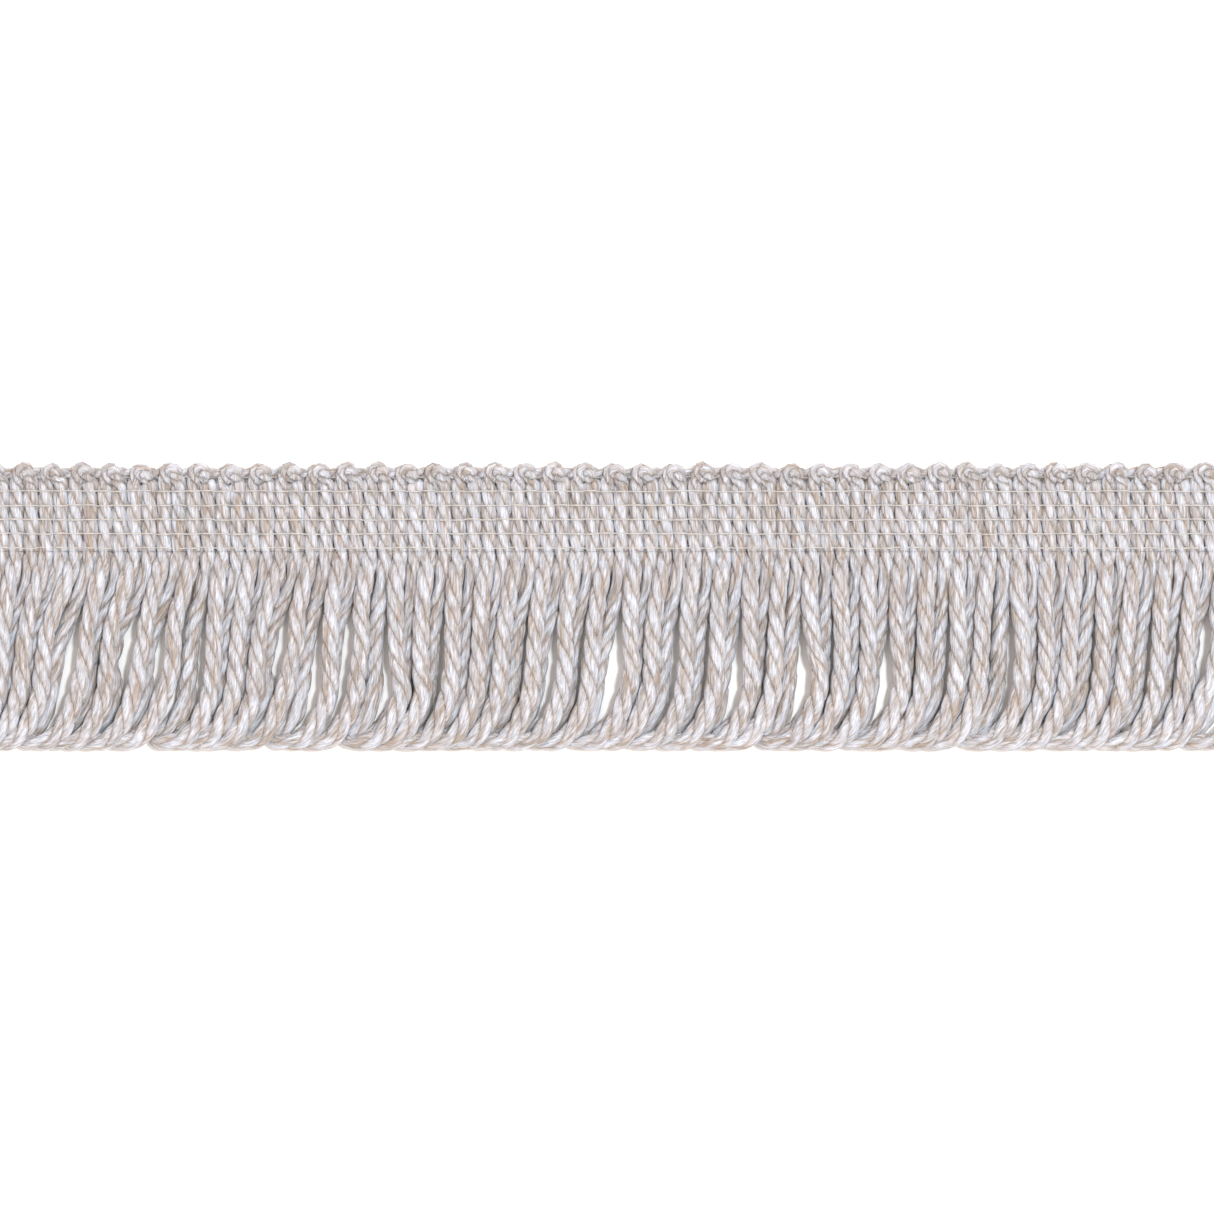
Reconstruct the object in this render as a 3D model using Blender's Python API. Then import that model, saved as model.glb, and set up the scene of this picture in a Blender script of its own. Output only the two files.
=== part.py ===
"""A cut length of loop fringe trim, lying face up on a flat surface.

X runs along the trim, Y across it with the heading at +Y and the loops at -Y, and Z up out of its face.
The origin is under the middle of the trim, on the surface that it lies on.

The whole trim is one plied weft yarn, laid up and down across the heading. The heading shows it as side-by-side
ribs, drawn in under six warp lines, with a small round turn, a picot, over each pair of ribs at the top edge.
Below the heading the yarn hangs in loops. Each loop has a left leg in a back layer, on the surface, and a right
leg in a front layer, over its neighbours, so the turns at the bottom lie on each other like roof tiles.
"""

import random
from collections import namedtuple

import bmesh
import bpy
import numpy as np

# All lengths below are in millimetres; the meshes are in metres.
MM = 0.001

# Driving dimensions
TRIM_HEIGHT = 40.0
TRIM_TOP_Y = TRIM_HEIGHT / 2
COLUMN_PITCH = 2.06
PICOTS = 43
COLUMNS = 2 * PICOTS
HEADING_WIDTH = COLUMNS * COLUMN_PITCH

# The heading: six warp lines over the ribs
HEADING_BOTTOM_Y = 7.75
WARP_LINES = 6
WARP_PITCH = 1.98
FIRST_WARP_Y = 8.1
TOP_WARP_Y = FIRST_WARP_Y + (WARP_LINES - 1) * WARP_PITCH
EDGE_Y = 19.1
PICOT_RISE = TRIM_TOP_Y - EDGE_Y
RIB_CREST_Z = 2.5
RIB_VALLEY_Z = 1.7
PINCHED_CREST_Z = 2.05
PINCHED_VALLEY_Z = 1.55
END_ROW_Z = 1.5
PICOT_CREST_Z = 2.7
PICOT_TIP_Z = 1.5
EDGE_TIP_Z = 0.9
# How far a picot has risen at each quarter of its width, from the dip before it
PICOT_PROFILE = (0.0, 0.85, 1.0, 0.85)

# The strip that the loops grow from, parted from the heading
PART_GAP = 0.3
STRIP_DEPTH = 1.3
STRIP_TOP_Y = HEADING_BOTTOM_Y - PART_GAP
STRIP_Z = (0.15, 1.9)
ROOT_Y = STRIP_TOP_Y - 0.5 * STRIP_DEPTH
ROOT_Z = 0.98

# The loops' strands: flat-sided, wider and thinner than round yarn, so that they pass each other
BACK_Z = 0.8
FRONT_Z = 3.9
ROOT_WIDTH = 1.45
LEG_WIDTH = 2.0
ROOT_THICKNESS = 1.4
LEG_THICKNESS = 1.6
TURN_THICKNESS = 1.0
RISE_LENGTH = 4.0
WIDENING_DELAY = 2.2
# The heights at which a leg has a corner ring
FRONT_LEG_HEIGHTS = (ROOT_Y, 4.6, 2.2, -1.4, -5.0, -8.8, -12.4)
BACK_LEG_HEIGHTS = (ROOT_Y, 3.4, 0.4, -3.0, -6.6, -10.6)
FOOT_Y = FRONT_LEG_HEIGHTS[-1]
CUT_END_Y = -16.0

# Where a loop turns, from the back leg to the front one. Both legs sweep to the left, so that the tip of the turn
# lies under the sweep of the loop before. Each x is from the foot of the loop's own front leg.
Bend = namedtuple("Bend", "x y z width")
TURN = (
    Bend(x=-4.3, y=-13.7, z=0.8, width=2.0),
    Bend(x=-5.6, y=-16.1, z=0.8, width=1.8),
    Bend(x=-7.1, y=-17.4, z=0.8, width=1.4),
    Bend(x=-7.9, y=-18.2, z=1.3, width=1.2),
    Bend(x=-7.1, y=-19.0, z=1.9, width=1.5),
    Bend(x=-5.5, y=-19.05, z=2.35, width=1.9),
    Bend(x=-4.0, y=-18.5, z=3.1, width=2.0),
    Bend(x=-2.2, y=-17.2, z=3.75, width=2.0),
    Bend(x=-0.8, y=-15.1, z=3.9, width=2.0),
)

# How the legs lie, from the strip down to where they turn. All drift to the left, more so towards the left end,
# and each back leg tucks itself part of the way under the front leg on its left.
FRONT_DRIFT = -0.75
END_DRIFT = -1.4
END_DRIFT_X = -45.0
END_DRIFT_LENGTH = 40.0
BACK_TUCK = -1.25
# The share of its length in which a leg has drifted all the way
DRIFT_SHARE = 0.65
SWAY = 0.35
SWAY_LENGTH = 31.0
WANDER = 0.4
BEND = 0.4
CLOSEST_LEGS = 2.6
CLOSEST_FEET = 3.7
YARN_RADIUS = 1.15
GAP_FADE = 6.0
SETTLING_LEVELS = 22
SETTLING_ROUNDS = 60
SETTLING_SMOOTHNESS = 0.4
SEED = 11

# The slots that stand open between the loops: the front leg on its right, counted from the left end, its middle,
# its ends, its width, and how far its top leans to the right
Gap = namedtuple("Gap", "leg x top bottom width lean")
GAPS = (
    Gap(leg=4, x=-77.2, top=-7.0, bottom=-17.8, width=1.4, lean=2.0),
    Gap(leg=6, x=-68.2, top=-5.0, bottom=-10.0, width=1.2, lean=0.8),
    Gap(leg=11, x=-46.9, top=-6.1, bottom=-9.1, width=1.2, lean=0.8),
    Gap(leg=12, x=-42.1, top=-9.8, bottom=-16.0, width=1.6, lean=1.2),
    Gap(leg=13, x=-38.0, top=-3.1, bottom=-16.4, width=1.1, lean=1.4),
    Gap(leg=20, x=-9.5, top=-6.4, bottom=-16.3, width=1.1, lean=1.6),
    Gap(leg=22, x=-1.0, top=-7.1, bottom=-16.9, width=2.0, lean=2.2),
    Gap(leg=26, x=16.3, top=-10.0, bottom=-16.3, width=1.7, lean=1.0),
    Gap(leg=28, x=25.8, top=-9.3, bottom=-16.2, width=1.8, lean=1.0),
    Gap(leg=31, x=37.5, top=-9.2, bottom=-16.3, width=1.6, lean=0.4),
    Gap(leg=42, x=82.0, top=-4.8, bottom=-8.0, width=1.0, lean=0.6),
)

YARN_COLOR = (0.62, 0.57, 0.55, 1.0)
YARN_ROUGHNESS = 0.75


def clear_scene():
    for obj in list(bpy.data.objects):
        bpy.data.objects.remove(obj)


def yarn_material(name):
    material = bpy.data.materials.new(name)
    material.use_nodes = True
    shader = material.node_tree.nodes["Principled BSDF"]
    shader.inputs["Base Color"].default_value = YARN_COLOR
    shader.inputs["Roughness"].default_value = YARN_ROUGHNESS
    shader.inputs["Metallic"].default_value = 0.0
    return material


def add_object(name, points, faces, material):
    """A mesh object from points in millimetres."""
    mesh = bpy.data.meshes.new(name)
    mesh.from_pydata([tuple(MM * c for c in p) for p in points], [], faces)
    form = bmesh.new()
    form.from_mesh(mesh)
    bmesh.ops.recalc_face_normals(form, faces=form.faces)
    form.to_mesh(mesh)
    form.free()
    obj = bpy.data.objects.new(name, mesh)
    obj.data.materials.append(material)
    bpy.context.scene.collection.objects.link(obj)
    return obj


def smooth(t):
    """0 to 1 with level ends."""
    t = np.clip(t, 0.0, 1.0)
    return t * t * (3 - 2 * t)


def column_x(column):
    return (column - (COLUMNS - 1) / 2) * COLUMN_PITCH


# The heading


def heading_rows():
    """(y, crest height, valley height) of each straight row, from the bottom edge to the top warp line."""
    rows = [(HEADING_BOTTOM_Y, END_ROW_Z, END_ROW_Z)]
    for line in range(WARP_LINES):
        y = FIRST_WARP_Y + line * WARP_PITCH
        if line:
            rows.append((y - WARP_PITCH / 2, RIB_CREST_Z, RIB_VALLEY_Z))
        rows.append((y, PINCHED_CREST_Z, PINCHED_VALLEY_Z))
    return rows


def heading_face():
    """The points of the face, row by row. Each rib has a valley and a crest point, and a picot has four."""
    places = range(2 * COLUMNS + 1)
    xs = [-HEADING_WIDTH / 2 + i * COLUMN_PITCH / 2 for i in places]
    rows = [[(x, y, crest if i % 2 else valley) for i, x in enumerate(xs)] for y, crest, valley in heading_rows()]
    swell, tip = [], []
    for i, x in enumerate(xs):
        rise = PICOT_PROFILE[i % len(PICOT_PROFILE)]
        top = EDGE_Y + PICOT_RISE * rise
        swell.append((x, (TOP_WARP_Y + top) / 2, RIB_VALLEY_Z + (PICOT_CREST_Z - RIB_VALLEY_Z) * rise))
        tip.append((x, top, EDGE_TIP_Z + (PICOT_TIP_Z - EDGE_TIP_Z) * rise))
    return rows + [swell, tip]


def build_heading(material):
    rows = heading_face()
    wide = len(rows[0])
    flat_low = [(x, y, 0.0) for x, y, _ in rows[0]]
    flat_high = [(x, y, 0.0) for x, y, _ in rows[-1]]
    loops = [flat_low] + rows + [flat_high]
    points = [p for row in loops for p in row]
    faces = []
    for r in range(len(loops)):
        above = (r + 1) % len(loops)
        for i in range(wide - 1):
            faces.append((r * wide + i, r * wide + i + 1, above * wide + i + 1, above * wide + i))
    for end in (0, wide - 1):
        faces.append([r * wide + end for r in range(len(loops))])
    return add_object("heading", points, faces, material)


# The loops


def leg_layer(columns, tuck, rng):
    """The settled x of every leg of one layer, as an array with a row for each level and a column for each leg."""
    levels = np.linspace(STRIP_TOP_Y, FOOT_Y, SETTLING_LEVELS)[:, None]
    share = (STRIP_TOP_Y - levels) / (STRIP_TOP_Y - FOOT_Y)
    drifted = smooth(share / DRIFT_SHARE)
    roots = np.array([column_x(c) for c in columns])[None, :]
    wander = np.array([rng.uniform(-WANDER, WANDER) for _ in columns])
    bend = np.array([rng.uniform(-BEND, BEND) for _ in columns])
    sway = SWAY * np.sin(2 * np.pi * roots / SWAY_LENGTH + rng.uniform(0, 2 * np.pi))
    drift = FRONT_DRIFT + tuck + END_DRIFT * smooth((END_DRIFT_X - roots) / END_DRIFT_LENGTH)
    xs = roots + drifted * (drift + wander + sway) + bend * np.sin(np.pi * smooth(share)) ** 2

    gaps = []
    for gap in GAPS:
        middle_y = (gap.top + gap.bottom) / 2
        middle_x = gap.x + gap.lean * (levels - middle_y) / (gap.top - gap.bottom)
        reach = smooth(1 - np.maximum(np.maximum(levels - gap.top, gap.bottom - levels), 0.0) / GAP_FADE)
        side = np.where(np.arange(len(columns)) < gap.leg, -1.0, 1.0)
        gaps.append((middle_x, gap.width / 2 + YARN_RADIUS, reach, side))

    room = CLOSEST_LEGS + (CLOSEST_FEET - CLOSEST_LEGS) * share
    for _ in range(SETTLING_ROUNDS):
        for middle_x, clear, reach, side in gaps:
            xs = xs + reach * side * np.clip(clear - side * (xs - middle_x), 0.0, None)
        short = np.clip(room - np.diff(xs), 0.0, None) / 2
        xs[:, :-1] -= short
        xs[:, 1:] += short
        bent = (xs[:-2] + xs[2:]) / 2 - xs[1:-1]
        xs[1:-1] += SETTLING_SMOOTHNESS * bent
        xs[0] = roots[0]
    return levels[:, 0], xs


def leg(levels, xs, heights, end_z):
    """The corner rings of one leg, from its root down, as (x, y, z, width, thickness)."""
    rings = []
    for y in heights:
        risen = smooth((ROOT_Y - y) / RISE_LENGTH)
        grown = smooth((ROOT_Y - WIDENING_DELAY - y) / RISE_LENGTH)
        width = ROOT_WIDTH + (LEG_WIDTH - ROOT_WIDTH) * grown
        thickness = ROOT_THICKNESS + (LEG_THICKNESS - ROOT_THICKNESS) * grown
        rings.append((np.interp(-y, -levels, xs), y, ROOT_Z + (end_z - ROOT_Z) * risen, width, thickness))
    return rings


def strands():
    """The corner rings of every strand, left to right: a cut front leg, the loops, and a cut back leg."""
    rng = random.Random(SEED)
    levels, front = leg_layer(range(0, COLUMNS, 2), 0.0, rng)
    levels, back = leg_layer(range(1, COLUMNS, 2), BACK_TUCK, rng)
    fronts = [leg(levels, xs, FRONT_LEG_HEIGHTS, FRONT_Z) for xs in front.T]
    backs = [leg(levels, xs, BACK_LEG_HEIGHTS, BACK_Z) for xs in back.T]

    rows = [fronts[0] + [cut_end(fronts[0][-1])]]
    for down, up in zip(backs, fronts[1:]):
        foot_x = up[-1][0]
        bends = [(foot_x + bend.x, bend.y, bend.z, bend.width, TURN_THICKNESS) for bend in TURN]
        rows.append(down + bends + up[::-1])
    rows.append(backs[-1] + [cut_end(backs[-1][-1])])
    return rows


def cut_end(foot):
    x, _, z, width, thickness = foot
    return (x, CUT_END_Y, z, width, thickness)


def strand_mesh(rings):
    """Points and faces of one four-sided strand through its corner rings."""
    middles = np.array([ring[:3] for ring in rings])
    steps = np.diff(middles, axis=0)
    steps /= np.linalg.norm(steps, axis=1)[:, None]
    along = np.vstack([steps[:1], steps[:-1] + steps[1:], steps[-1:]])
    along /= np.linalg.norm(along, axis=1)[:, None]
    side = np.cross([0.0, 0.0, 1.0], along)
    side /= np.linalg.norm(side, axis=1)[:, None]
    up = np.cross(along, side)
    points = []
    for (_, _, _, width, thickness), middle, s, u in zip(rings, middles, side, up):
        for a, b in ((-1, -1), (1, -1), (1, 1), (-1, 1)):
            points.append(tuple(middle + s * a * width / 2 + u * b * thickness / 2))
    faces = []
    for ring in range(len(rings) - 1):
        for k in range(4):
            first, second = 4 * ring + k, 4 * ring + (k + 1) % 4
            faces.append((first, second, second + 4, first + 4))
    last = 4 * (len(rings) - 1)
    faces += [(3, 2, 1, 0), (last, last + 1, last + 2, last + 3)]
    return points, faces


def build_fringe(material):
    """The strip, with every strand joined into it at its root."""
    half = HEADING_WIDTH / 2
    corners = [
        (x, y, z) for z in STRIP_Z for x, y in (
            (-half, STRIP_TOP_Y - STRIP_DEPTH),
            (half, STRIP_TOP_Y - STRIP_DEPTH),
            (half, STRIP_TOP_Y),
            (-half, STRIP_TOP_Y),
        )
    ]
    sides = [(k, (k + 1) % 4, (k + 1) % 4 + 4, k + 4) for k in range(4)]
    strip = add_object("fringe", corners, [(3, 2, 1, 0), (4, 5, 6, 7)] + sides, material)

    points, faces = [], []
    for rings in strands():
        more_points, more_faces = strand_mesh(rings)
        faces += [[len(points) + i for i in face] for face in more_faces]
        points += more_points
    bundle = add_object("fringe_strands", points, faces, material)
    bundle.hide_render = True
    bundle.display_type = "WIRE"

    union = strip.modifiers.new("strands", "BOOLEAN")
    union.operation = "UNION"
    union.object = bundle
    return strip


def centre_on_origin(objects):
    """Moves all the objects together, so that the origin is under the middle of the trim."""
    bpy.context.view_layer.update()
    graph = bpy.context.evaluated_depsgraph_get()
    corners = np.array([c for obj in objects for c in obj.evaluated_get(graph).bound_box])
    shift = -(corners.min(0) + corners.max(0)) / 2
    for obj in bpy.context.scene.objects:
        obj.location = (shift[0], shift[1], 0.0)


def main():
    clear_scene()
    heading = build_heading(yarn_material("heading_yarn"))
    fringe = build_fringe(yarn_material("fringe_yarn"))
    centre_on_origin([heading, fringe])


main()
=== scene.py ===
"""The looks of the loop fringe trim: its plied yarn, its warp threads, and the photograph's light and camera.

X runs along the trim, Y across it with the heading at +Y and the loops at -Y, and Z up out of its face, as in the
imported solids. Sizes are in millimetres and turn into metres where a mesh or a light is made.

One plied yarn runs through the whole trim. It goes up a front leg and a rib of the heading, over a picot, down the
next rib and a back leg, and round a turn at the bottom into the next front leg. The heading and the fringe are
made as sections of that yarn, in its own order, so that its plies run on from each section to the next.
"""

import math
import random
from collections import namedtuple

import bpy
import numpy as np
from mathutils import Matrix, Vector


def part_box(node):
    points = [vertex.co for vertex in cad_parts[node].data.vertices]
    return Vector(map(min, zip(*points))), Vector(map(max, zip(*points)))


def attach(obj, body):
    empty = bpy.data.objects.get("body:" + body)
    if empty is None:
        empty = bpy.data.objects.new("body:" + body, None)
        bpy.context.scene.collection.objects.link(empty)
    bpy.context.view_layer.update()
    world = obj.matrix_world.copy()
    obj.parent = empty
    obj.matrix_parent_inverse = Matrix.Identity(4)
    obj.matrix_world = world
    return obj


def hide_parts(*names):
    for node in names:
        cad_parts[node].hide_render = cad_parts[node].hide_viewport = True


MM = 0.001

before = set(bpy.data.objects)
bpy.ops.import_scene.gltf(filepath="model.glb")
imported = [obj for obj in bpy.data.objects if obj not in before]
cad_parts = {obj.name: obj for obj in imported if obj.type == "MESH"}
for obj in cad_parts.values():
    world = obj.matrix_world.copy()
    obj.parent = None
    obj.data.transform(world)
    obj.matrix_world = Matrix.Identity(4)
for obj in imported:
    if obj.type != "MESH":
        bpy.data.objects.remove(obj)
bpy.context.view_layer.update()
HEADING_LOW, HEADING_HIGH = (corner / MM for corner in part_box("heading"))

# The layout of the solids, whose own x is 0 in the middle of the heading
PICOTS = 43
COLUMNS = 2 * PICOTS
COLUMN_PITCH = (HEADING_HIGH.x - HEADING_LOW.x) / COLUMNS
TRIM_TOP_Y = 20.0
SHIFT = np.array([(HEADING_LOW.x + HEADING_HIGH.x) / 2, HEADING_HIGH.y - TRIM_TOP_Y, 0.0])

# The heading
WARP_LINES = 6
WARP_PITCH = 1.98
FIRST_WARP_Y = 8.1
SECTION_Y = 7.6
ROOT_Y = 6.8

# The legs, from the strip of the solids down to where they turn. The first leg is cut off at CUT_END_Y, and the loop
# past the right end would have its foot LAST_FOOT_OFFSET from its root.
STRIP_TOP_Y = 7.45
FOOT_Y = -12.4
CUT_END_Y = -16.0
LAST_FOOT_OFFSET = -2.0
LEG_STEP = 1.6
BACK_LEG_END_Y = -10.6

# Where a back leg hangs between its two front legs: this share of their distance from the left one, more by the
# second share where they hang wide apart, and a little at random
BACK_SHARE = 0.33
WIDE_SHARE = 0.35
BACK_WANDER = 0.25

# The least distance between the legs of one layer, at the top and at the foot, and how the layer settles to it
CLOSEST_LEGS = 2.5
CLOSEST_FEET = 2.9
LEVELS = 32
SETTLING_ROUNDS = 60
SETTLING_SMOOTHNESS = 0.3
LAYOUT_SEED = 11

# How far right of its root each front leg hangs at half height, from the left end of the trim
FRONT_OFFSETS = (
    -1.0, -1.9, -3.0, -4.3, -2.6, -3.5, -2.9, -3.2, -1.1, -1.7, -3.6, -2.8, -1.5, -2.2, -0.4, -1.2, -0.8, -1.2, -2.2,
    -1.8, -2.0, -2.0, -0.8, -2.0, -1.1, -1.0, -0.5, -1.1, -0.1, 0.0, -0.5, -0.6, -0.9, -0.3, -1.3, 0.5, -0.4, -1.4,
    -0.8, -1.8, -1.2, -1.5, -2.5,
)

# How a leg moves sideways: by this much, from this height down, over this length. A front leg steps left at once
# and then goes over to its own offset. A back leg doesn't step, and slants in behind it. Both sweep left at the
# bottom. The shift of a hang is the share of the leg's own offset that it has reached.
Course = namedtuple("Course", "shift top length")
FRONT_STEP = Course(shift=-0.8, top=7.3, length=4.5)
FRONT_HANG = Course(shift=1.0, top=4.5, length=9.2)
BACK_STEP = Course(shift=0.0, top=7.3, length=4.5)
BACK_HANG = Course(shift=1.0, top=5.5, length=10.2)
FOOT_SWEEP = Course(shift=-0.7, top=-7.0, length=7.0)

# The slots that stand open between the loops: the front leg on its right, counted from the left end, its middle,
# its ends, its width, and how far its top leans to the right. The shade of the front leg lies on its right.
Gap = namedtuple("Gap", "leg x top bottom width lean")
GAPS = (
    Gap(leg=4, x=-77.2, top=-8.0, bottom=-16.5, width=1.4, lean=2.4),
    Gap(leg=6, x=-68.2, top=-5.2, bottom=-8.2, width=1.3, lean=0.9),
    Gap(leg=7, x=-63.8, top=-7.4, bottom=-9.2, width=0.9, lean=0.5),
    Gap(leg=11, x=-46.9, top=-6.0, bottom=-7.8, width=1.0, lean=0.9),
    Gap(leg=12, x=-42.1, top=-11.6, bottom=-16.4, width=2.0, lean=1.2),
    Gap(leg=13, x=-38.0, top=-4.6, bottom=-16.4, width=0.9, lean=1.6),
    Gap(leg=14, x=-32.0, top=-12.0, bottom=-16.2, width=1.1, lean=0.5),
    Gap(leg=20, x=-9.5, top=-7.8, bottom=-15.8, width=0.9, lean=1.5),
    Gap(leg=22, x=-1.0, top=-9.4, bottom=-16.4, width=1.9, lean=1.8),
    Gap(leg=26, x=16.3, top=-11.0, bottom=-15.8, width=1.5, lean=1.0),
    Gap(leg=28, x=25.8, top=-10.3, bottom=-15.8, width=1.6, lean=1.0),
    Gap(leg=31, x=37.5, top=-10.2, bottom=-15.8, width=1.4, lean=0.4),
    Gap(leg=42, x=82.0, top=-4.8, bottom=-8.0, width=0.8, lean=0.6),
)

# Half a leg's width, the shade's width beside a slot, and how far a slot fades out beyond its ends
HALF_LEG = 1.17
SLOT_SHADE = 0.5
GAP_FADE = 2.3

# Where the round yarn's middle lies in each layer, and how much it is pressed. A leg rises from the heading over
# RISE_LENGTH, reaches its full width over LEG_GROWTH_LENGTH, and drops and swells a little towards its foot.
RIB_Z = 1.25
RIB_PINCH = 0.07
BACK_Z = 1.6
FRONT_Z = 3.2
RISE_LENGTH = 4.0
RIB_WIDTH = 0.95
LEG_GROWTH_LENGTH = 3.0
FOOT_DROP = 0.42
FOOT_DROP_TOP_Y = -5.0
FOOT_DROP_LENGTH = 8.0
FOOT_SWELL = 0.12
SWELL_TOP_Y = -5.0
SWELL_LENGTH = 8.0

# A point that the yarn passes. Its width and height are shares of the round yarn's, and its twist is 1 for the
# yarn's own S twist and -1 where the leg has been turned back to Z.
Station = namedtuple("Station", "x y z width height twist")

# Where a loop turns, from the back leg to the front one, with x from the foot of the loop's own front leg. hold is
# how far a station follows its own back leg, whose end is usually BACK_FOOT_X from that foot.
Bend = namedtuple("Bend", "x y z width height twist hold")
BACK_FOOT_X = -2.8
TURN = (
    Bend(x=-3.2, y=-13.2, z=1.2, width=1.12, height=0.9, twist=-0.4, hold=1.0),
    Bend(x=-4.5, y=-15.6, z=1.15, width=1.15, height=0.85, twist=0.4, hold=0.5),
    Bend(x=-6.3, y=-17.4, z=1.1, width=1.0, height=0.8, twist=1.0, hold=0.1),
    Bend(x=-7.9, y=-18.55, z=1.35, width=0.85, height=0.8, twist=1.0, hold=0.0),
    Bend(x=-7.3, y=-18.95, z=1.75, width=0.85, height=0.8, twist=1.0, hold=0.0),
    Bend(x=-5.6, y=-18.95, z=2.05, width=0.95, height=0.8, twist=1.0, hold=0.0),
    Bend(x=-3.8, y=-18.7, z=2.35, width=1.05, height=0.85, twist=1.0, hold=0.0),
    Bend(x=-2.2, y=-17.3, z=2.7, width=1.12, height=0.9, twist=1.0, hold=0.0),
    Bend(x=-0.9, y=-14.9, z=2.85, width=1.12, height=1.0, twist=1.0, hold=0.0),
)

# The twist of a back leg at some heights
TWIST_HEIGHTS = (-10.6, -6.0, 0.0, 2.0, 4.0, 6.0)
BACK_TWISTS = (-1.0, -1.0, -1.0, -0.5, 0.5, 1.0)

# A picot, from the left rib's end over the top to the right rib's, with x from its middle. The yarn comes forward
# out of the heading, so that the picot sits on it as a small ball.
PICOT = (
    Station(x=-0.95, y=17.35, z=1.3, width=0.88, height=0.95, twist=1.6),
    Station(x=-0.62, y=18.15, z=1.85, width=0.86, height=0.92, twist=2.6),
    Station(x=-0.5, y=18.72, z=2.25, width=0.92, height=0.95, twist=3.2),
    Station(x=0.0, y=18.98, z=2.4, width=0.94, height=1.0, twist=3.2),
    Station(x=0.52, y=18.66, z=2.25, width=0.92, height=0.95, twist=3.2),
    Station(x=0.62, y=18.1, z=1.85, width=0.86, height=0.92, twist=2.6),
    Station(x=0.95, y=17.3, z=1.35, width=0.88, height=0.95, twist=1.6),
)

# Some picots press the top of their right rib up into a knob. Each picot leans and lifts a little at random.
KNOB_SHARE = 0.4
KNOB_SWELL = 0.12
KNOB_RISE = 0.25
PICOT_WANDER = 0.12

# The yarn itself. A ply's section is an oval: its radius towards the yarn's middle, and how much wider it is across
# that.
Yarn = namedtuple("Yarn", "plies offset radius oval pitch sides step fibre_pitch lump ridge")
WEFT = Yarn(
    plies=3, offset=0.63, radius=0.59, oval=1.35, pitch=9.9, sides=14, step=0.5, fibre_pitch=16.0, lump=0.07,
    ridge=0.09,
)
RIB_STEP = 0.36
WARP = Yarn(
    plies=1, offset=0.0, radius=0.12, oval=1.0, pitch=3.0, sides=6, step=0.34, fibre_pitch=3.0, lump=0.15, ridge=0.0,
)
SELVAGE = Yarn(
    plies=2, offset=0.36, radius=0.45, oval=1.3, pitch=3.6, sides=10, step=0.35, fibre_pitch=6.0, lump=0.15, ridge=0.1,
)

# How far round a ply, from the yarn's outside, its groove begins and is deep: the mask of the painted shade in the
# groove
GROOVE_SHADE_FROM = math.radians(50.0)
GROOVE_SHADE_TO = math.radians(80.0)

# The yarn's unevenness: in its twist, in each ply's thickness and in each fibre ridge along a ply
TWIST_JITTER = 0.12
LUMP_LENGTH = 3.0
RIDGE_LENGTH = 2.4
COURSE_KNOTS = 4096
YARN_SEED = 5
STRAY_SEED = 8

# How far apart the plies of a yarn lie in the noise of its material
PLY_APART = 977.0

# Loose fibres on the yarn, which cross from ply to ply. A few lift off at one end.
STRAYS_PER_MM = 0.7
STRAY_RADIUS = 0.035
STRAY_SIDES = 3
STRAY_RINGS = (8, 15)
STRAY_STRIDE = 2
STRAY_SLANT = 0.35
STRAY_SHADES = 2.0
FREE_SHARE = 0.06
FREE_LIFT = 0.7
LEAST_LIFT = 0.4

# The photograph's frame: its width and its middle, from the origin
VIEW_WIDTH = 169.2
VIEW_X = 2.21
VIEW_Y = -0.13
VIEW_Z = 3.0
LENS = 200.0
SENSOR = 36.0
CLIP_START = 0.05


def smooth(t):
    """0 to 1 with level ends."""
    t = np.clip(t, 0.0, 1.0)
    return t * t * (3 - 2 * t)


def column_x(column):
    return (column - (COLUMNS - 1) / 2) * COLUMN_PITCH


# How the legs lie


def moved(course, levels):
    return course.shift * smooth((course.top - levels) / course.length)


def leg_layer(columns, offsets, step, hang, at_slot):
    """The levels, and the settled x of every leg of one layer, as an array with a row for each level and a column
    for each leg.

    at_slot is 0 where a slot lies left of the layer's leg of the same number, and -1 where it lies right of the leg
    before it."""
    levels = np.linspace(STRIP_TOP_Y, FOOT_Y, LEVELS)[:, None]
    share = (STRIP_TOP_Y - levels) / (STRIP_TOP_Y - FOOT_Y)
    roots = np.array([column_x(c) for c in columns])[None, :]
    hung = moved(hang, levels)
    xs = roots + (1 - hung) * moved(step, levels) + hung * np.array(offsets)[None, :] + moved(FOOT_SWEEP, levels)

    slots = []
    for gap in GAPS:
        middle_y = (gap.top + gap.bottom) / 2
        within = np.clip(levels, gap.bottom, gap.top)
        middle_x = gap.x + gap.lean * (within - middle_y) / (gap.top - gap.bottom)
        reach = smooth(1 - np.maximum(np.maximum(levels - gap.top, gap.bottom - levels), 0.0) / GAP_FADE)
        left = middle_x - gap.width / 2 - HALF_LEG
        right = middle_x + gap.width / 2 + HALF_LEG + SLOT_SHADE
        slots.append((gap.leg, left, right, reach))
        # Below the slot the legs close up again.
        closed = gap.width / 2 * smooth((gap.bottom - levels[:, 0]) / GAP_FADE)
        xs[:, gap.leg + at_slot] += closed if at_slot else -closed

    room = CLOSEST_LEGS + (CLOSEST_FEET - CLOSEST_LEGS) * share
    for _ in range(SETTLING_ROUNDS):
        for leg, left, right, reach in slots:
            xs[:, :leg] -= reach * np.clip(xs[:, :leg] - left, 0.0, None)
            xs[:, leg:] += reach * np.clip(right - xs[:, leg:], 0.0, None)
            beside, place = leg + at_slot, (left if at_slot else right)
            xs[:, beside] += reach[:, 0] * (place[:, 0] - xs[:, beside])
        short = np.clip(room - np.diff(xs), 0.0, None) / 2
        xs[:, :-1] -= short
        xs[:, 1:] += short
        bent = (xs[:-2] + xs[2:]) / 2 - xs[1:-1]
        xs[1:-1] += SETTLING_SMOOTHNESS * bent
        xs[0] = roots[0]
    return levels[:, 0], xs


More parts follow.
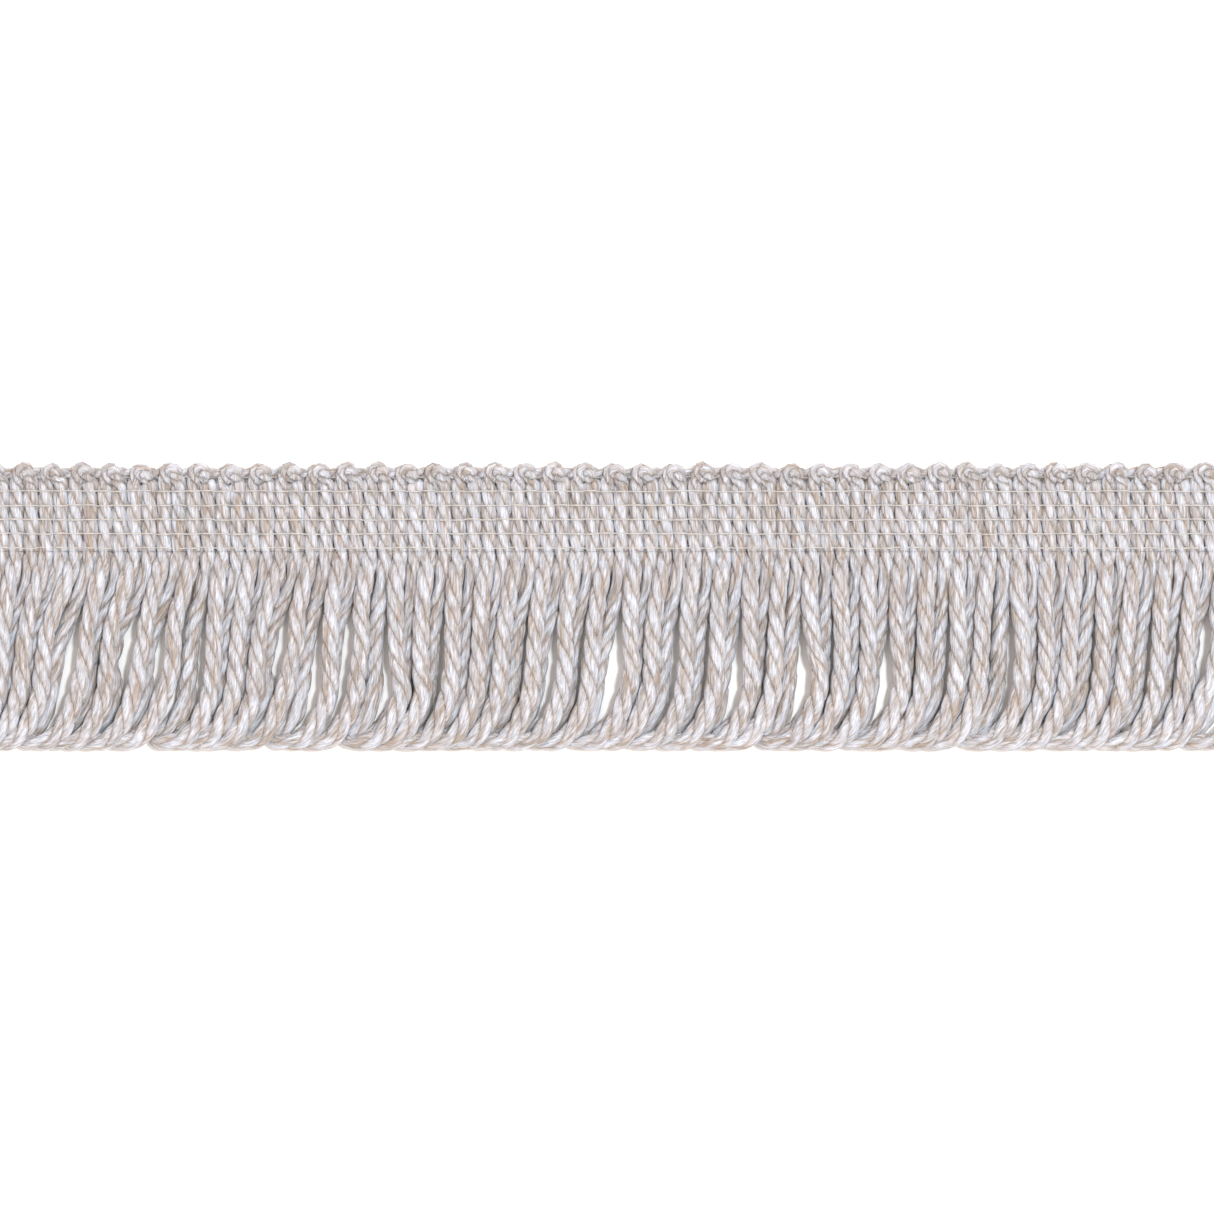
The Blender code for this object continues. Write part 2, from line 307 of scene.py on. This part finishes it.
def leg_stations(levels, xs, end_y, end_z, twists):
    """A leg's stations, from where it leaves the heading down to end_y."""
    stations = []
    for y in np.append(np.arange(SECTION_Y, end_y + LEG_STEP / 2, -LEG_STEP), end_y):
        risen = smooth((ROOT_Y - y) / RISE_LENGTH)
        dropped = smooth((FOOT_DROP_TOP_Y - y) / FOOT_DROP_LENGTH)
        grown = smooth((ROOT_Y - y) / LEG_GROWTH_LENGTH)
        swell = FOOT_SWELL * smooth((SWELL_TOP_Y - y) / SWELL_LENGTH)
        stations.append(
            Station(
                x=np.interp(-y, -levels, xs),
                y=y,
                z=RIB_Z + (end_z - RIB_Z) * risen - FOOT_DROP * dropped,
                width=RIB_WIDTH + (1 - RIB_WIDTH) * grown + swell,
                height=1.0,
                twist=np.interp(y, TWIST_HEIGHTS, twists),
            )
        )
    return stations


def turn_stations(foot_x, back_end_x):
    """A loop's stations from its back leg's end round to its front leg's foot."""
    aside = back_end_x - foot_x - BACK_FOOT_X
    return [Station(foot_x + bend.x + bend.hold * aside, *bend[1:-1]) for bend in TURN]


def fringe_sections():
    """The stations of every section of the fringe, left to right: a cut front leg, the loops, and a loop cut off
    at its turn."""
    rng = random.Random(LAYOUT_SEED)
    behind = []
    for offset, following in zip(FRONT_OFFSETS, FRONT_OFFSETS[1:] + FRONT_OFFSETS[-1:]):
        room = 2 * COLUMN_PITCH + following - offset
        lead = BACK_SHARE * room + WIDE_SHARE * max(following - offset, 0.0)
        behind.append(offset + lead - COLUMN_PITCH + rng.uniform(-BACK_WANDER, BACK_WANDER))
    levels, front = leg_layer(range(0, COLUMNS, 2), FRONT_OFFSETS, FRONT_STEP, FRONT_HANG, 0)
    levels, back = leg_layer(range(1, COLUMNS, 2), behind, BACK_STEP, BACK_HANG, -1)
    untwisted = [1.0] * len(TWIST_HEIGHTS)
    fronts = [leg_stations(levels, xs, FOOT_Y, FRONT_Z, untwisted) for xs in front.T]
    backs = [leg_stations(levels, xs, BACK_LEG_END_Y, BACK_Z, BACK_TWISTS) for xs in back.T]
    sections = [[fronts[0][-1]._replace(y=CUT_END_Y)] + fronts[0][::-1]]
    for down, up in zip(backs, fronts[1:]):
        sections.append(down + turn_stations(up[-1].x, down[-1].x) + up[::-1])
    sections.append(backs[-1] + turn_stations(column_x(COLUMNS) + LAST_FOOT_OFFSET, backs[-1][-1].x))
    return sections


# The heading's ribs and picots


def rib_stations(column):
    """A rib's stations from its lower end to the last gap below the top warp line."""
    x = column_x(column)
    stations = [Station(x=x, y=SECTION_Y, z=RIB_Z, width=RIB_WIDTH, height=1.0, twist=1.0)]
    for line in range(WARP_LINES - 1):
        y = FIRST_WARP_Y + line * WARP_PITCH
        pinch = RIB_PINCH if line else 0.0
        stations.append(Station(x=x, y=y, z=RIB_Z - pinch, width=RIB_WIDTH, height=1 - pinch, twist=1.0))
        stations.append(Station(x=x, y=y + WARP_PITCH / 2, z=RIB_Z, width=RIB_WIDTH, height=1.0, twist=1.0))
    return stations


def heading_sections():
    """The stations of each pair of ribs with its picot: up the left rib, over the picot and down the right rib."""
    rng = random.Random(YARN_SEED)
    sections = []
    for picot in range(PICOTS):
        middle = (column_x(2 * picot) + column_x(2 * picot + 1)) / 2
        lean = rng.uniform(-PICOT_WANDER, PICOT_WANDER)
        lift = rng.uniform(-PICOT_WANDER, PICOT_WANDER)
        up, down = rib_stations(2 * picot), rib_stations(2 * picot + 1)
        if rng.random() < KNOB_SHARE:
            knob = down[-1]
            down[-1] = knob._replace(z=knob.z + KNOB_RISE, width=knob.width + KNOB_SWELL)
        over = [s._replace(x=middle + s.x, y=s.y + lift) for s in PICOT]
        over[1:-1] = [s._replace(x=s.x + lean) for s in over[1:-1]]
        sections.append(up + over + down[::-1])
    return sections


# Yarn


def curve_through(stations, step, before=None, after=None):
    """The stations joined by a smooth curve, as rows of x, y, z, width, height and twist, one step apart.

    before and after are the stations of the sections that it joins, so that it runs on into them."""
    rows = np.array(([before] if before else []) + stations + ([after] if after else []), float)
    gaps = np.linalg.norm(np.diff(rows[:, :3], axis=0), axis=1)
    slopes = np.diff(rows, axis=0) / gaps[:, None]
    middle = (slopes[:-1] * gaps[1:, None] + slopes[1:] * gaps[:-1, None]) / (gaps[:-1] + gaps[1:])[:, None]
    tangents = np.vstack([slopes[:1], middle, slopes[-1:]])
    first, last = (1 if before else 0), len(rows) - (1 if after else 0)
    rows, tangents, gaps = rows[first:last], tangents[first:last], gaps[first : last - 1]
    at = np.append(0.0, np.cumsum(gaps))
    places = np.linspace(0.0, at[-1], max(2, math.ceil(at[-1] / step)) + 1)
    k = np.clip(np.searchsorted(at, places, side="right") - 1, 0, len(gaps) - 1)
    t, gap = ((places - at[k]) / gaps[k])[:, None], gaps[k][:, None]
    return (
        (2 * t**3 - 3 * t**2 + 1) * rows[k]
        + (t**3 - 2 * t**2 + t) * gap * tangents[k]
        + (3 * t**2 - 2 * t**3) * rows[k + 1]
        + (t**3 - t**2) * gap * tangents[k + 1]
    )


class Courses:
    """Smooth random courses around 0 along a whole yarn. They run on from section to section."""

    def __init__(self, count, spacing, amount, rng):
        self.spacing = spacing
        self.values = rng.uniform(-amount, amount, (count, COURSE_KNOTS))

    def at(self, length):
        """The values at some lengths, with a row for each course."""
        place = length / self.spacing
        knot = place.astype(int)
        t = smooth(place - knot)
        return self.values[:, knot % COURSE_KNOTS] * (1 - t) + self.values[:, (knot + 1) % COURSE_KNOTS] * t


# A section of yarn as it lies: its middle, the directions across it and up out of it, which carry its width and
# height, the turn of its plies, and the yarn's length at each ring
Lay = namedtuple("Lay", "middles side up turn length")


def tube_faces(rings, sides):
    """The faces of a closed tube, whose points run round each ring in turn."""
    first = np.arange((rings - 1) * sides)
    second = first - first % sides + (first + 1) % sides
    faces = np.column_stack([first, second, second + sides, first + sides]).tolist()
    return faces + [list(range(sides - 1, -1, -1)), list(range((rings - 1) * sides, rings * sides))]


class Strand:
    """Lays sections of one yarn end to end. Its length and the turn of its plies run on from section to section."""

    def __init__(self, yarn, seed):
        self.yarn = yarn
        self.rng = np.random.default_rng(seed)
        self.length = 0.0
        self.turn = self.rng.uniform(0.0, 2 * np.pi)
        self.jitter = Courses(1, yarn.pitch, TWIST_JITTER, self.rng)
        self.lumps = Courses(yarn.plies, LUMP_LENGTH, yarn.lump, self.rng)
        self.ridges = [Courses(yarn.sides, RIDGE_LENGTH, yarn.ridge, self.rng) for _ in range(yarn.plies)]

    def lay(self, stations, step=None, before=None, after=None):
        """The next section, as it lies."""
        rows = curve_through(stations, step or self.yarn.step, before, after)
        middles, (width, height, twist) = rows[:, :3], rows[:, 3:].T[:, :, None]
        steps = np.linalg.norm(np.diff(middles, axis=0), axis=1)
        length = self.length + np.append(0.0, np.cumsum(steps))
        rate = twist[:, 0] * (1 + self.jitter.at(length)[0])
        turned = np.append(0.0, np.cumsum(steps * (rate[1:] + rate[:-1]) / 2)) * 2 * np.pi / self.yarn.pitch
        turn = self.turn - turned
        self.length, self.turn = length[-1], turn[-1]

        along = np.gradient(middles, axis=0)
        along /= np.linalg.norm(along, axis=1)[:, None]
        side = np.cross([0.0, 0.0, 1.0], along)
        side /= np.linalg.norm(side, axis=1)[:, None]
        up = np.cross(along, side)
        return Lay(middles, side * width, up * height, turn, length)

    def ply_meshes(self, lay):
        """The meshes of a section's plies, as (points, faces, fibres). A row of fibres is a point's place among the
        ply's fibres and how deep it lies in the groove beside the ply, which sets the painted shade in the groove."""
        return [self.ply_mesh(lay, ply) for ply in range(self.yarn.plies)]

    def ply_mesh(self, lay, ply):
        yarn = self.yarn
        place = (lay.turn + 2 * np.pi * ply / yarn.plies)[:, None]
        centre = lay.middles + yarn.offset * (np.cos(place) * lay.side + np.sin(place) * lay.up)
        corners = 2 * np.pi * np.arange(yarn.sides) / yarn.sides
        angles = corners[None, :] - (lay.turn * yarn.pitch / yarn.fibre_pitch)[:, None]
        radius = yarn.radius * yarn.oval / np.hypot(yarn.oval * np.cos(angles - place), np.sin(angles - place))
        radius *= 1 + self.lumps.at(lay.length)[ply][:, None] + self.ridges[ply].at(lay.length).T
        spread = np.cos(angles)[:, :, None] * lay.side[:, None, :] + np.sin(angles)[:, :, None] * lay.up[:, None, :]
        points = (centre[:, None, :] + radius[:, :, None] * spread).reshape(-1, 3)

        fibres = np.empty((len(lay.middles), yarn.sides, 4))
        fibres[:, :, 0] = yarn.radius * np.cos(corners)[None, :]
        fibres[:, :, 1] = yarn.radius * np.sin(corners)[None, :]
        fibres[:, :, 2] = lay.length[:, None] + PLY_APART * ply
        # How deep the point lies in the groove beside the next ply, for the painted shade there
        inward = np.arccos(np.clip(np.cos(angles - place), -1.0, 1.0))
        fibres[:, :, 3] = smooth((inward - GROOVE_SHADE_FROM) / (GROOVE_SHADE_TO - GROOVE_SHADE_FROM))
        return points, tube_faces(len(lay.middles), yarn.sides), fibres.reshape(-1, 4)

    def stray_meshes(self, lay, rng):
        """Loose fibres on a section's upper face."""
        yarn, meshes = self.yarn, []
        for _ in range(round((lay.length[-1] - lay.length[0]) * STRAYS_PER_MM)):
            first = rng.integers(0, len(lay.middles) - STRAY_RINGS[0])
            own = slice(first, first + rng.integers(*STRAY_RINGS), STRAY_STRIDE)
            middles, side, up, turn, length = (part[own] for part in lay)
            t = np.linspace(0.0, 1.0, len(middles))
            angle = rng.uniform(0.0, np.pi) + rng.uniform(-STRAY_SLANT, 0.0) * (length - length[0])
            between = 2 * np.pi / yarn.plies
            from_ply = (angle - turn + between / 2) % between - between / 2
            reach = yarn.offset * np.cos(from_ply) + yarn.radius
            if rng.random() < FREE_SHARE:
                reach = reach + FREE_LIFT * rng.uniform(LEAST_LIFT, 1.0) * t**2
            out = np.cos(angle)[:, None] * side + np.sin(angle)[:, None] * up
            middles = middles + reach[:, None] * out
            out /= np.linalg.norm(out, axis=1)[:, None]
            along = np.gradient(middles, axis=0)
            across = np.cross(along, out)
            across /= np.linalg.norm(across, axis=1)[:, None]
            corners = 2 * np.pi * np.arange(STRAY_SIDES) / STRAY_SIDES
            points = middles[:, None, :] + STRAY_RADIUS * (
                np.cos(corners)[None, :, None] * out[:, None, :] + np.sin(corners)[None, :, None] * across[:, None, :]
            )
            shade = np.full((len(t), 2), rng.uniform(-STRAY_SHADES, STRAY_SHADES, 2))
            fibres = np.repeat(np.column_stack([shade, length, np.zeros(len(t))]), STRAY_SIDES, axis=0)
            meshes.append((points.reshape(-1, 3), tube_faces(len(middles), STRAY_SIDES), fibres))
        return meshes


def mesh_piece(name, meshes, material):
    """One object from many meshes in millimetres, as ply_meshes makes them. It rides on the trim's one body."""
    points, faces, fibres, count = [], [], [], 0
    for own_points, own_faces, own_fibres in meshes:
        points.append(own_points)
        fibres.append(own_fibres)
        faces += [[count + i for i in face] for face in own_faces]
        count += len(own_points)
    mesh = bpy.data.meshes.new(name)
    mesh.from_pydata(((np.vstack(points) + SHIFT) * MM).tolist(), [], faces)
    mesh.polygons.foreach_set("use_smooth", [len(face) == 4 for face in faces])
    fibres = np.vstack(fibres).astype(np.float32)
    attribute = mesh.attributes.new("fibre", "FLOAT_VECTOR", "POINT")
    attribute.data.foreach_set("vector", fibres[:, :3].ravel())
    # The groove depth, which carries the painted shade between the plies
    attribute = mesh.attributes.new("groove_shade", "FLOAT", "POINT")
    attribute.data.foreach_set("value", fibres[:, 3].copy())
    mesh.materials.append(material)
    obj = bpy.data.objects.new(name, mesh)
    bpy.context.scene.collection.objects.link(obj)
    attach(obj, "root")
    return obj


# Materials


class Nodes:
    """Short calls for a material's nodes."""

    def __init__(self, name):
        self.material = bpy.data.materials.new(name)
        self.material.use_nodes = True
        self.tree = self.material.node_tree
        self.shader = self.tree.nodes["Principled BSDF"]

    def add(self, kind, inputs=(), **settings):
        node = self.tree.nodes.new(kind)
        for key, value in settings.items():
            setattr(node, key, value)
        for key, value in dict(inputs).items():
            self.plug(value, node.inputs[key])
        return node

    def plug(self, value, socket):
        if isinstance(value, bpy.types.NodeSocket):
            self.tree.links.new(value, socket)
        else:
            socket.default_value = value

    def noise(self, vector, scale, detail, roughness=0.55):
        """Noise from a vector in millimetres, stretched by a scale for each direction."""
        stretched = self.add("ShaderNodeMapping", {"Vector": vector, "Scale": scale})
        made = self.add(
            "ShaderNodeTexNoise",
            {"Vector": stretched.outputs["Vector"], "Scale": 1.0, "Detail": detail, "Roughness": roughness},
        )
        return made.outputs["Fac"]

    def spread(self, value, low, high, to_low=0.0, to_high=1.0):
        made = self.add(
            "ShaderNodeMapRange",
            {"Value": value, "From Min": low, "From Max": high, "To Min": to_low, "To Max": to_high},
        )
        return made.outputs["Result"]

    def mix(self, share, first, second, blend="MIX"):
        made = self.add("ShaderNodeMix", data_type="RGBA", blend_type=blend)
        self.plug(share, made.inputs["Factor"])
        self.plug(first, made.inputs[6])
        self.plug(second, made.inputs[7])
        return made.outputs[2]

    def maths(self, operation, first, second):
        made = self.add("ShaderNodeMath", operation=operation)
        self.plug(first, made.inputs[0])
        self.plug(second, made.inputs[1])
        return made.outputs[0]


# The colours of the fibres, of the painted shade in the grooves between the plies and of the warp threads
PALE = (0.53, 0.555, 0.62, 1.0)
BEIGE = (0.325, 0.27, 0.232, 1.0)
# Painted shade: the grooves between the plies turn part of the way towards this warm, darker colour
GROOVE_SHADE = (0.40, 0.33, 0.28, 1.0)
GROOVE_SHADE_SHARE = 0.5
THREAD_DARK = (0.44, 0.41, 0.39, 1.0)
THREAD_LIGHT = (0.61, 0.59, 0.575, 1.0)

# How often each kind of noise in the yarn changes, across a ply twice and along it, for each millimetre
BLEND_SCALE = (1.3, 1.3, 0.22)
STRAND_SCALE = (3.2, 3.2, 0.3)
FINE_SCALE = (6.0, 6.0, 0.9)
THREAD_SCALE = (9.0, 9.0, 1.2)

# Between which values each noise goes from one look to the other, and the looks
BLEND_EDGES = (0.42, 0.6)
STRAND_EDGES = (0.42, 0.58)
STRAND_SHARES = (0.3, 1.0)
FINE_EDGES = (0.36, 0.64)
STREAK_SHADES = (0.76, 1.18)
SHINE_EDGES = (0.3, 0.7)
YARN_ROUGHNESS = (0.62, 0.42)

# How high the fibres stand, and how far light spreads under them
YARN_RELIEF = 0.14
STRAND_RELIEF = 0.6
THREAD_RELIEF = 0.08
LIGHT_REACH = 0.7


def yarn_material(name):
    """Blended silky fibres: pale ones and beige ones, in streaks along each ply, and painted shade in the grooves
    between the plies.
    """
    nodes = Nodes(name)
    fibre = nodes.add("ShaderNodeAttribute", attribute_name="fibre").outputs["Vector"]
    blend = nodes.spread(nodes.noise(fibre, BLEND_SCALE, 2.0), *BLEND_EDGES)
    strands = nodes.spread(nodes.noise(fibre, STRAND_SCALE, 1.0), *STRAND_EDGES)
    fine = nodes.noise(fibre, FINE_SCALE, 1.0, 0.6)
    share = nodes.maths("MULTIPLY", blend, nodes.spread(strands, 0.0, 1.0, *STRAND_SHARES))
    colour = nodes.mix(share, PALE, BEIGE)
    # Painted shade: a warm, darker colour where a ply turns into the groove beside the next one
    groove_shade = nodes.add("ShaderNodeAttribute", attribute_name="groove_shade").outputs["Fac"]
    colour = nodes.mix(nodes.spread(groove_shade, 0.0, 1.0, 0.0, GROOVE_SHADE_SHARE), colour, GROOVE_SHADE)
    streak = nodes.spread(fine, *FINE_EDGES, *STREAK_SHADES)
    grey = nodes.add("ShaderNodeCombineColor", {"Red": streak, "Green": streak, "Blue": streak})
    colour = nodes.mix(1.0, colour, grey.outputs["Color"], "MULTIPLY")
    nodes.plug(colour, nodes.shader.inputs["Base Color"])
    nodes.plug(nodes.spread(fine, *SHINE_EDGES, *YARN_ROUGHNESS), nodes.shader.inputs["Roughness"])
    relief = nodes.maths("ADD", fine, nodes.maths("MULTIPLY", strands, STRAND_RELIEF))
    bump = nodes.add("ShaderNodeBump", {"Height": relief, "Strength": 1.0, "Distance": YARN_RELIEF * MM})
    nodes.plug(bump.outputs["Normal"], nodes.shader.inputs["Normal"])
    nodes.shader.inputs["Specular IOR Level"].default_value = 0.4
    nodes.shader.inputs["Subsurface Weight"].default_value = 0.35
    nodes.shader.inputs["Subsurface Radius"].default_value = (1.0, 0.7, 0.5)
    nodes.shader.inputs["Subsurface Scale"].default_value = LIGHT_REACH * MM
    nodes.shader.inputs["Sheen Weight"].default_value = 0.15
    nodes.shader.inputs["Sheen Roughness"].default_value = 0.5
    return nodes.material


def thread_material(name):
    """Cream cotton warp thread."""
    nodes = Nodes(name)
    fibre = nodes.add("ShaderNodeAttribute", attribute_name="fibre").outputs["Vector"]
    fine = nodes.noise(fibre, THREAD_SCALE, 2.0)
    colour = nodes.mix(nodes.spread(fine, *SHINE_EDGES), THREAD_DARK, THREAD_LIGHT)
    nodes.plug(colour, nodes.shader.inputs["Base Color"])
    bump = nodes.add("ShaderNodeBump", {"Height": fine, "Strength": 0.4, "Distance": THREAD_RELIEF * MM})
    nodes.plug(bump.outputs["Normal"], nodes.shader.inputs["Normal"])
    nodes.shader.inputs["Roughness"].default_value = 0.6
    return nodes.material


# The pieces


def make_weft():
    """Lays the whole yarn in its own order. Returns the meshes of the ribs, of the fringe's sections and of the loose
    fibres on both."""
    strand = Strand(WEFT, YARN_SEED)
    rng = np.random.default_rng(STRAY_SEED)
    fringe, heading = fringe_sections(), heading_sections()
    sections = [fringe[0]]
    for pair, loop in zip(heading, fringe[1:]):
        sections += [pair, loop]
    meshes, strays = [], []
    for number, stations in enumerate(sections):
        before = sections[number - 1][-2] if number else None
        after = sections[number + 1][1] if number + 1 < len(sections) else None
        lay = strand.lay(stations, RIB_STEP if number % 2 else WEFT.step, before, after)
        meshes.append(strand.ply_meshes(lay))
        strays.append(strand.stray_meshes(lay, rng))
    return meshes[1::2], meshes[::2], strays


def shared_out(name, sections, shares, material):
    """Pieces of about the same number of sections each."""
    pieces = []
    for share in range(shares):
        own = sections[share * len(sections) // shares : (share + 1) * len(sections) // shares]
        pieces.append(mesh_piece(f"{name}_{share + 1}", [m for section in own for m in section], material))
    return pieces


# A warp thread's height over a rib, between two ribs and behind the heading, how far it wanders and sinks into a rib,
# and the arch of its crest, down to its shoulders at this share of the ribs' distance
WARP_CREST_Z = 2.44
TOP_WARP_CREST_Z = 1.9
WARP_DIP_Z = 1.85
TOP_WARP_DIP_Z = 1.5
WARP_BACK_Z = 0.17
WARP_WANDER = 0.08
WARP_SINK = 0.15
WARP_ARCH = 0.1
WARP_SHOULDER = 0.26


def warp_stations(y, crest, dip, rng):
    """A thread along the heading, over every rib and down between them."""
    stations = []
    for column in range(COLUMNS):
        x = column_x(column)
        rise = rng.uniform(-WARP_WANDER, WARP_WANDER)
        sunk = rng.uniform(0.0, WARP_SINK)
        top, shoulder = crest - sunk, crest - WARP_ARCH - sunk
        for offset, z in ((-0.5, dip), (-WARP_SHOULDER, shoulder), (0.0, top), (WARP_SHOULDER, shoulder)):
            stations.append(Station(x + offset * COLUMN_PITCH, y + rise, z, 1.0, 1.0, 1.0))
    return stations


def make_warps(material):
    """The threads across the heading: one over the ribs and one behind them for each warp line."""
    rng = random.Random(YARN_SEED)
    front, back = [], []
    for line in range(WARP_LINES):
        y = FIRST_WARP_Y + line * WARP_PITCH
        crest, dip = (WARP_CREST_Z, WARP_DIP_Z) if line < WARP_LINES - 1 else (TOP_WARP_CREST_Z, TOP_WARP_DIP_Z)
        thread = Strand(WARP, line)
        front += thread.ply_meshes(thread.lay(warp_stations(y, crest, dip, rng)))
        ends = [Station(side * COLUMNS * COLUMN_PITCH / 2, y, WARP_BACK_Z, 1.0, 1.0, 1.0) for side in (-1, 1)]
        back += thread.ply_meshes(thread.lay(ends, 1.0))
    mesh_piece("warp_threads_face", front, material)
    mesh_piece("warp_threads_back", back, material)


SELVAGE_Y = 18.6
SELVAGE_SWING = (-0.05, 0.12)
SELVAGE_Z = 1.3


def make_selvage(material):
    """The thread that runs along the heading's top edge, behind the picots."""
    stations = []
    for column in range(COLUMNS + 1):
        x = column_x(column) - COLUMN_PITCH / 2
        stations.append(Station(x, SELVAGE_Y + SELVAGE_SWING[column % 2], SELVAGE_Z, 1.0, 1.0, 1.0))
    thread = Strand(SELVAGE, YARN_SEED)
    mesh_piece("selvage_thread", thread.ply_meshes(thread.lay(stations)), material)


# The stage, the light and the camera

FLOOR_SIZE = 2400.0
FLOOR_DROP = 0.2
FLOOR_WHITE = (0.96, 0.96, 0.96, 1.0)


def make_floor():
    mesh = bpy.data.meshes.new("floor")
    half, z = FLOOR_SIZE / 2 * MM, -FLOOR_DROP * MM
    mesh.from_pydata([(-half, -half, z), (half, -half, z), (half, half, z), (-half, half, z)], [], [(0, 1, 2, 3)])
    floor = bpy.data.objects.new("floor", mesh)
    bpy.context.scene.collection.objects.link(floor)
    nodes = Nodes("floor_white")
    nodes.shader.inputs["Base Color"].default_value = FLOOR_WHITE
    nodes.shader.inputs["Roughness"].default_value = 0.9
    nodes.shader.inputs["Specular IOR Level"].default_value = 0.1
    mesh.materials.append(nodes.material)


# A soft lamp from high up on the right, and an even, slightly warm light from all round
KEY_FROM = Vector((0.24, 0.12, 1.0))
KEY_DISTANCE = 1500.0
KEY_SIZE = 170.0
KEY_POWER = 15.0
KEY_COLOR = (0.91, 0.97, 1.0)
WORLD_COLOR = (1.0, 0.90, 0.835, 1.0)
WORLD_STRENGTH = 1.25


def aim(obj, target):
    obj.rotation_euler = (target - obj.location).to_track_quat("-Z", "Y").to_euler()


def make_lights():
    lamp = bpy.data.lights.new("key", "AREA")
    lamp.shape = "DISK"
    lamp.size = KEY_SIZE * MM
    lamp.energy = KEY_POWER
    lamp.color = KEY_COLOR
    key = bpy.data.objects.new("key", lamp)
    key.location = KEY_FROM.normalized() * KEY_DISTANCE * MM
    bpy.context.scene.collection.objects.link(key)
    aim(key, Vector((0.0, 0.0, 0.0)))

    world = bpy.data.worlds.new("studio")
    world.use_nodes = True
    background = world.node_tree.nodes["Background"]
    background.inputs["Color"].default_value = WORLD_COLOR
    background.inputs["Strength"].default_value = WORLD_STRENGTH
    bpy.context.scene.world = world
    bpy.context.scene.view_settings.view_transform = "Standard"


def make_camera():
    data = bpy.data.cameras.new("camera")
    data.sensor_width = SENSOR
    data.lens = LENS
    data.clip_start = CLIP_START
    camera = bpy.data.objects.new("camera", data)
    height = VIEW_WIDTH * LENS / SENSOR
    camera.location = Vector((VIEW_X, VIEW_Y, VIEW_Z + height)) * MM
    bpy.context.scene.collection.objects.link(camera)
    bpy.context.scene.camera = camera


def main():
    make_camera()
    make_lights()
    make_floor()
    ribs, legs, strays = make_weft()
    heading_pieces = shared_out("heading_weft", ribs, 2, yarn_material("heading_yarn"))
    fringe_pieces = shared_out("loops", legs, 3, yarn_material("fringe_yarn"))
    shared_out("loose_fibres", strays, 1, yarn_material("loose_fibre"))
    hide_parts("heading")
    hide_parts("fringe")
    thread = thread_material("warp_cotton")
    make_warps(thread)
    make_selvage(yarn_material("selvage_yarn"))


main()
